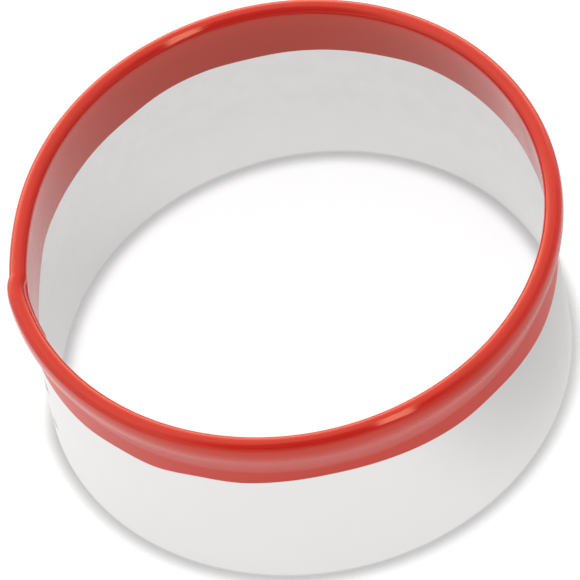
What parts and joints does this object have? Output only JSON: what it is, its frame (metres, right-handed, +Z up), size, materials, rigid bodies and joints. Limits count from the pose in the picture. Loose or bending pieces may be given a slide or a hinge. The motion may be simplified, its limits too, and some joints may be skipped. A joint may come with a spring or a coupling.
{
  "type": "biscuit cutter",
  "caption": "Round biscuit cutter: a lapped and spot-welded tinplate ring with a plain cutting edge below and a rolled rim dipped in glossy red resin above.",
  "frame": {"origin": "middle of the ring in the plane of the cutting edge, which it stands on", "axes": "+Z up out of the coated rim; the lap seam is at -X, and -Y faces the camera of the picture"},
  "size_m": [0.0604, 0.0602, 0.0257],
  "materials": {
    "tinplate": "bright tinplate, lightly handled, with faint bending bands and fine scratches",
    "weld": "pressed spot welds, a little duller and darker than the sheet",
    "coating": "glossy dipped resin, thick on the rim and thin at its wavy lower edge"
  },
  "bodies": {
    "root": {"cutter_band": "tinplate", "spot_welds": "weld", "rim_coating": "coating"}
  },
  "joints": []
}
